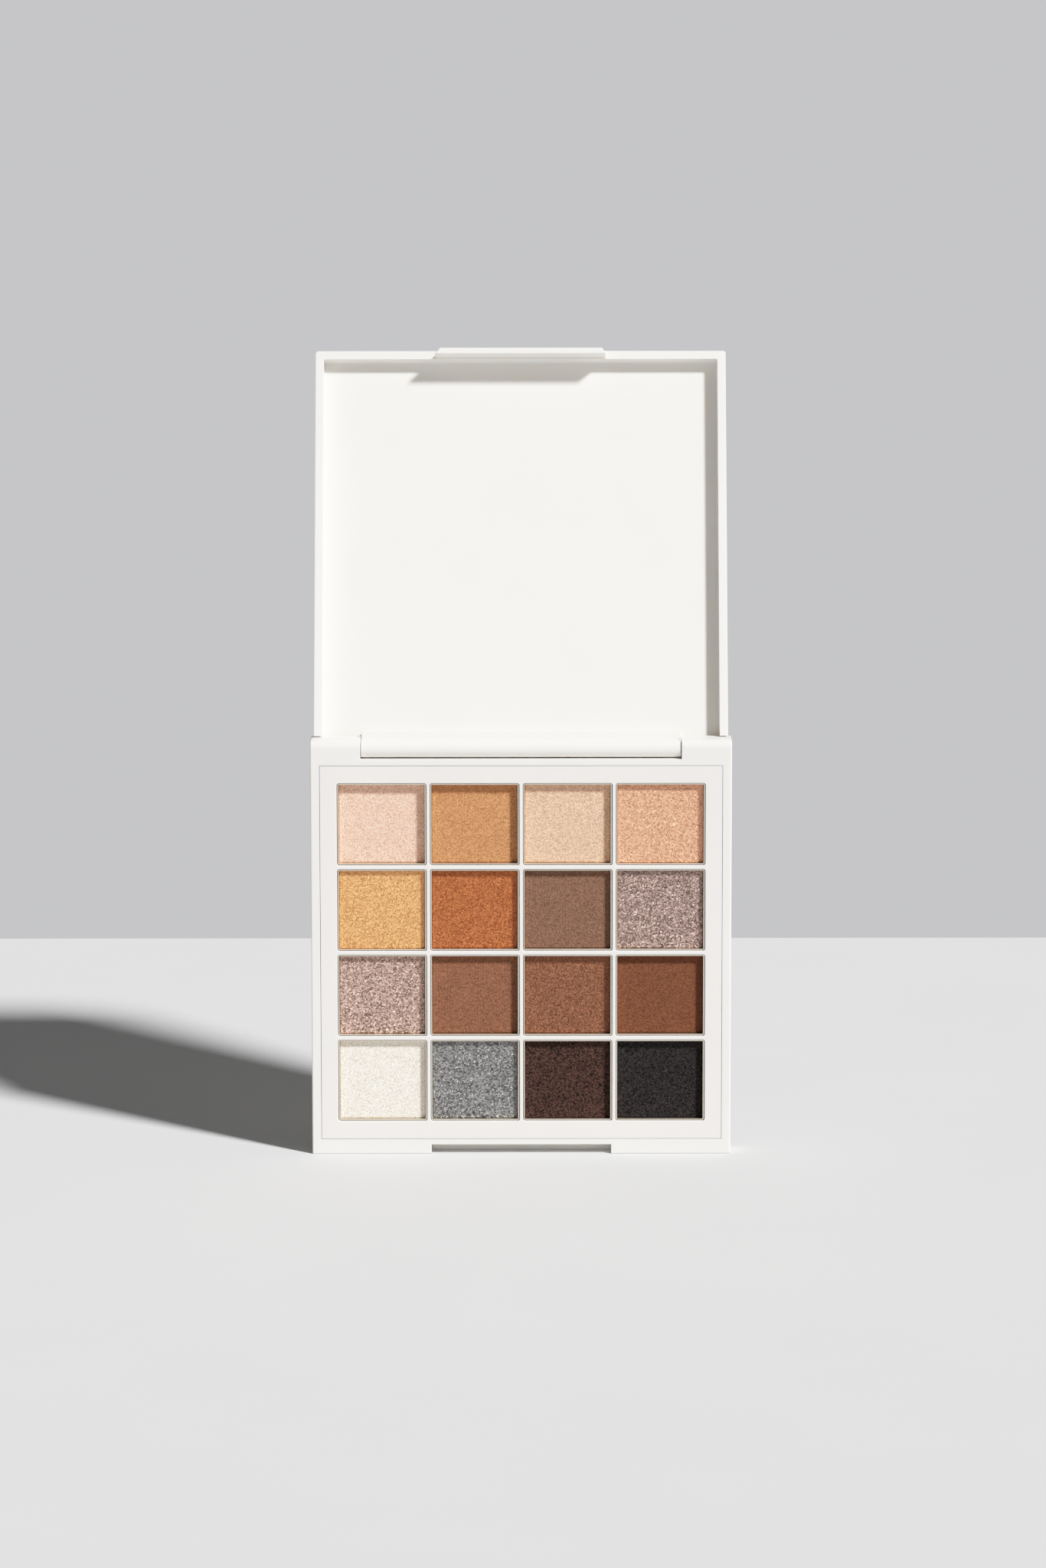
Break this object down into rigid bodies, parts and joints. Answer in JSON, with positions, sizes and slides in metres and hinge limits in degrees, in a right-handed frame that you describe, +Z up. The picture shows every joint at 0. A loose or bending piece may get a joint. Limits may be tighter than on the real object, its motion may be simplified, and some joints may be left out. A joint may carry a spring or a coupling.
{
  "type": "eyeshadow palette",
  "caption": "Square white makeup palette with a grid of pressed powder pans and a recessed lid on a pin hinge, standing open on its front edge.",
  "frame": {"origin": "middle of the full-length strip of the standing edge, behind the thumb notch", "axes": "+Z up, +Y away from the viewer who faces the pans, +X to that viewer's right"},
  "size_m": [0.12, 0.0471, 0.2288],
  "materials": {
    "shell_white": "satin white moulded plastic",
    "insert_white": "satin white moulded plastic",
    "pan_metal": "bright tinned pan",
    "pin_steel": "drawn steel",
    "glue": "soft clear glue",
    "powder_pale_pink": "pressed cosmetic powder",
    "powder_camel": "pressed cosmetic powder",
    "powder_beige": "pressed cosmetic powder",
    "powder_peach_rose": "pressed cosmetic powder",
    "powder_gold": "pressed cosmetic powder",
    "powder_copper": "pressed cosmetic powder",
    "powder_taupe": "pressed cosmetic powder",
    "powder_silver_mauve": "pressed cosmetic powder",
    "powder_rose_taupe": "pressed cosmetic powder",
    "powder_brown": "pressed cosmetic powder",
    "powder_bronze": "pressed cosmetic powder",
    "powder_chestnut": "pressed cosmetic powder",
    "powder_ivory": "pressed cosmetic powder",
    "powder_steel_blue": "pressed cosmetic powder",
    "powder_espresso": "pressed cosmetic powder",
    "powder_black": "pressed cosmetic powder"
  },
  "bodies": {
    "base": {"base_shell": "shell_white", "hinge_pin_left": "pin_steel", "hinge_pin_right": "pin_steel", "pan_frame": "insert_white", "pan_glue": "glue", "pan_r1c1": "pan_metal", "pan_r1c2": "pan_metal", "pan_r1c3": "pan_metal", "pan_r1c4": "pan_metal", "pan_r2c1": "pan_metal", "pan_r2c2": "pan_metal", "pan_r2c3": "pan_metal", "pan_r2c4": "pan_metal", "pan_r3c1": "pan_metal", "pan_r3c2": "pan_metal", "pan_r3c3": "pan_metal", "pan_r3c4": "pan_metal", "pan_r4c1": "pan_metal", "pan_r4c2": "pan_metal", "pan_r4c3": "pan_metal", "pan_r4c4": "pan_metal", "powder_r1c1_pale_pink": "powder_pale_pink", "powder_r1c2_camel": "powder_camel", "powder_r1c3_beige": "powder_beige", "powder_r1c4_peach_rose": "powder_peach_rose", "powder_r2c1_gold": "powder_gold", "powder_r2c2_copper": "powder_copper", "powder_r2c3_taupe": "powder_taupe", "powder_r2c4_silver_mauve": "powder_silver_mauve", "powder_r3c1_rose_taupe": "powder_rose_taupe", "powder_r3c2_brown": "powder_brown", "powder_r3c3_bronze": "powder_bronze", "powder_r3c4_chestnut": "powder_chestnut", "powder_r4c1_ivory": "powder_ivory", "powder_r4c2_steel_blue": "powder_steel_blue", "powder_r4c3_espresso": "powder_espresso", "powder_r4c4_black": "powder_black"},
    "lid": {"lid_shell": "shell_white"}
  },
  "joints": [
    {"name": "lid_hinge", "type": "hinge", "parent": "base", "child": "lid", "pos_m": [0, -0.00475, 0.1173], "axis": [1, 0, 0], "range_deg": [0, 198]}
  ]
}
